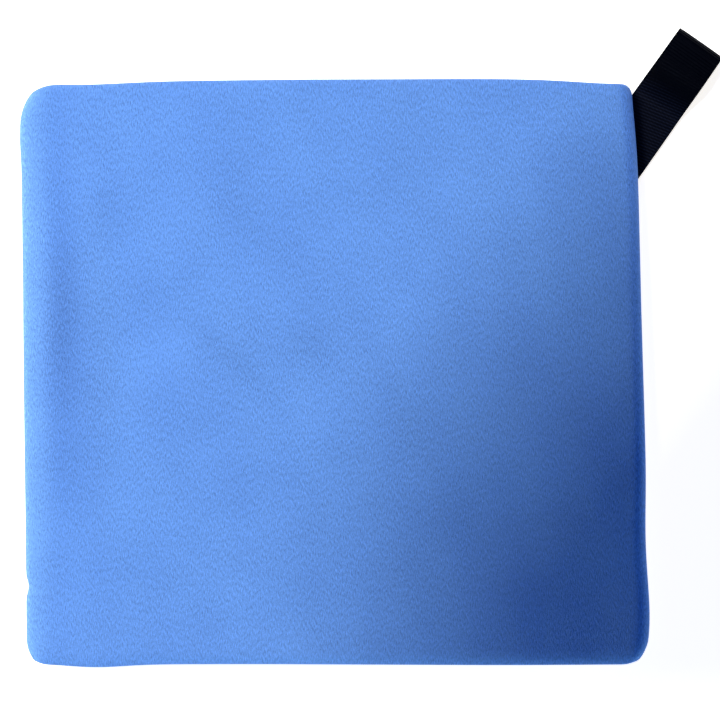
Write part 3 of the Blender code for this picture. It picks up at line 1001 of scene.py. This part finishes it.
def make_hems(name, route, panels, bodies, overlock):
    """The overlocked edges of one strip: two long ones that run along its folds, and the towel's end.
    """
    clear_of_ribbon = (route[:, 0] < LONG_HEM_STOP_X) | (route[:, 1] > level_z(0))
    hidden = long_hem(f"hidden_hem_{name}", route[clear_of_ribbon], HIDDEN_EDGE_Y, -1, 0.0)
    opened = long_hem(f"open_hem_{name}", route, OPEN_EDGE_Y, 1, -PLY_PITCH)
    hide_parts(*(f"inner_edge_hem_{n}" for n in panels))
    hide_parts(*(f"outer_edge_hem_{n}" for n in panels))
    hems = [hidden, opened]
    for hem in hems:
        give(hem, overlock)
        blend_by_share(hem, *bodies)
    if name in END_HEMS:
        hems.append(make_end_hem(name, overlock))
    return hems


def make_end_hem(name, overlock):
    hem = end_hem(f"end_hem_{name}_stitched", *END_HEMS[name])
    give(hem, overlock)
    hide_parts(f"end_hem_{name}")
    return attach(hem, "bottom")


def make_loop(grosgrain, thread):
    ribbon = make_ribbon()
    give(ribbon, grosgrain)
    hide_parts("hang_loop", "hang_loop_tail")
    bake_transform(ribbon)
    for number, distance in enumerate(BARTACK_PLACES, 1):
        bar = make_bartack(number, distance)
        give(bar, thread)
        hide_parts(f"bartack_{number}")
        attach(bar, "bottom")


def make_towel():
    make_sheet(make_suede(), make_thread("overlock", OVERLOCK_BLUE, STITCH_PITCH))
    make_loop(make_grosgrain(), make_thread("bartack", BARTACK_BLACK, BARTACK_PITCH))
    label = make_label()
    give(label, make_satin())
    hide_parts("care_label")
    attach(label, "bottom")


# ---------------------------------------------------------------- the studio

VIEW_CENTRE = Vector((0.00906, 0.0042, 0.0))  # below the camera, which looks straight down
VIEW_WIDTH = 0.2306  # across the picture, at the height of the top face
LENS = 135.0
SENSOR = 36.0
KEY_PLACE = Vector((-0.45, 0.35, 1.30))
SOFTBOXES = (  # name, place, size, power in watts, colour
    ("key", KEY_PLACE, 0.36, 21.3, (0.955, 0.975, 1.0)),
    ("left_fill", Vector((-0.95, 0.10, 0.20)), 0.35, 8.4, (1.0, 0.92, 0.50)),
    ("front_fill", Vector((0.10, -1.20, 0.06)), 0.10, 4.2, (0.62, 1.0, 0.95)),
    ("right_fill", Vector((1.25, -0.15, 0.07)), 0.12, 1.9, (0.48, 0.85, 1.0)),
)
AMBIENT = (0.080, 0.288, 1.0, 1.0)
AMBIENT_STRENGTH = 0.68
FLOOR_SIZE = 20.0
CARD_HEIGHT = 0.25
# corners of the card's shadow on the table, over the pack's near right
CARD_SHADOW = ((0.024, -0.40), (0.028, -0.052), (0.114, 0.060), (0.50, 0.44), (0.55, -0.40))


def make_camera():
    camera = bpy.data.objects.new("camera", bpy.data.cameras.new("camera"))
    camera.data.lens = LENS
    camera.data.sensor_width = SENSOR
    camera.location = VIEW_CENTRE + Vector((0, 0, PACK_Z + VIEW_WIDTH * LENS / SENSOR))
    bpy.context.scene.collection.objects.link(camera)
    bpy.context.scene.camera = camera


def make_softbox(name, place, size, power, colour):
    """A square soft light that faces the middle of the pack."""
    light = bpy.data.lights.new(name, "AREA")
    light.shape = "SQUARE"
    light.size = size
    light.energy = power
    light.color = colour
    obj = bpy.data.objects.new(name, light)
    obj.location = place
    obj.rotation_euler = (-place).to_track_quat("-Z", "Y").to_euler()
    bpy.context.scene.collection.objects.link(obj)


def make_shade_card():
    """A black card under the key light, unseen by the camera, which shades the near right."""
    reach = CARD_HEIGHT / KEY_PLACE.z
    corners = [Vector((x, y, 0)).lerp(KEY_PLACE, reach) for x, y in CARD_SHADOW]
    mesh = bpy.data.meshes.new("shade_card")
    mesh.from_pydata(corners, [], [list(range(len(corners)))])
    card = bpy.data.objects.new("shade_card", mesh)
    card.visible_camera = False
    card.visible_glossy = False
    black, _, _ = new_material("black_card", (0.0, 0.0, 0.0), 1.0, Specular_IOR_Level=0.0)
    mesh.materials.append(black)
    bpy.context.scene.collection.objects.link(card)


def make_floor(material):
    bpy.ops.mesh.primitive_plane_add(size=FLOOR_SIZE)
    floor = bpy.context.active_object
    floor.name = "floor"
    floor.data.materials.append(material)


def make_world():
    """Cool, weak light from all round, and plain white where the floor ends."""
    world = bpy.data.worlds.new("studio")
    bpy.context.scene.world = world
    world.use_nodes = True
    tree = world.node_tree
    ambient = tree.nodes["Background"]
    ambient.inputs["Color"].default_value = AMBIENT
    ambient.inputs["Strength"].default_value = AMBIENT_STRENGTH
    seen = tree.nodes.new("ShaderNodeBackground")
    rays = tree.nodes.new("ShaderNodeLightPath")
    mix = tree.nodes.new("ShaderNodeMixShader")
    tree.links.new(rays.outputs["Is Camera Ray"], mix.inputs["Fac"])
    tree.links.new(ambient.outputs["Background"], mix.inputs[1])
    tree.links.new(seen.outputs["Background"], mix.inputs[2])
    tree.links.new(mix.outputs["Shader"], tree.nodes["World Output"].inputs["Surface"])


def make_studio():
    make_floor(make_floor_material())
    make_shade_card()
    for softbox in SOFTBOXES:
        make_softbox(*softbox)
    make_world()
    bpy.context.scene.view_settings.view_transform = "Standard"


def clear_startup_scene():
    kept = set(frame["nodes"].values()) | set(frame["bodies"].values())
    for obj in list(bpy.data.objects):
        if obj not in kept:
            bpy.data.objects.remove(obj, do_unlink=True)


clear_startup_scene()
make_camera()
make_studio()
make_towel()
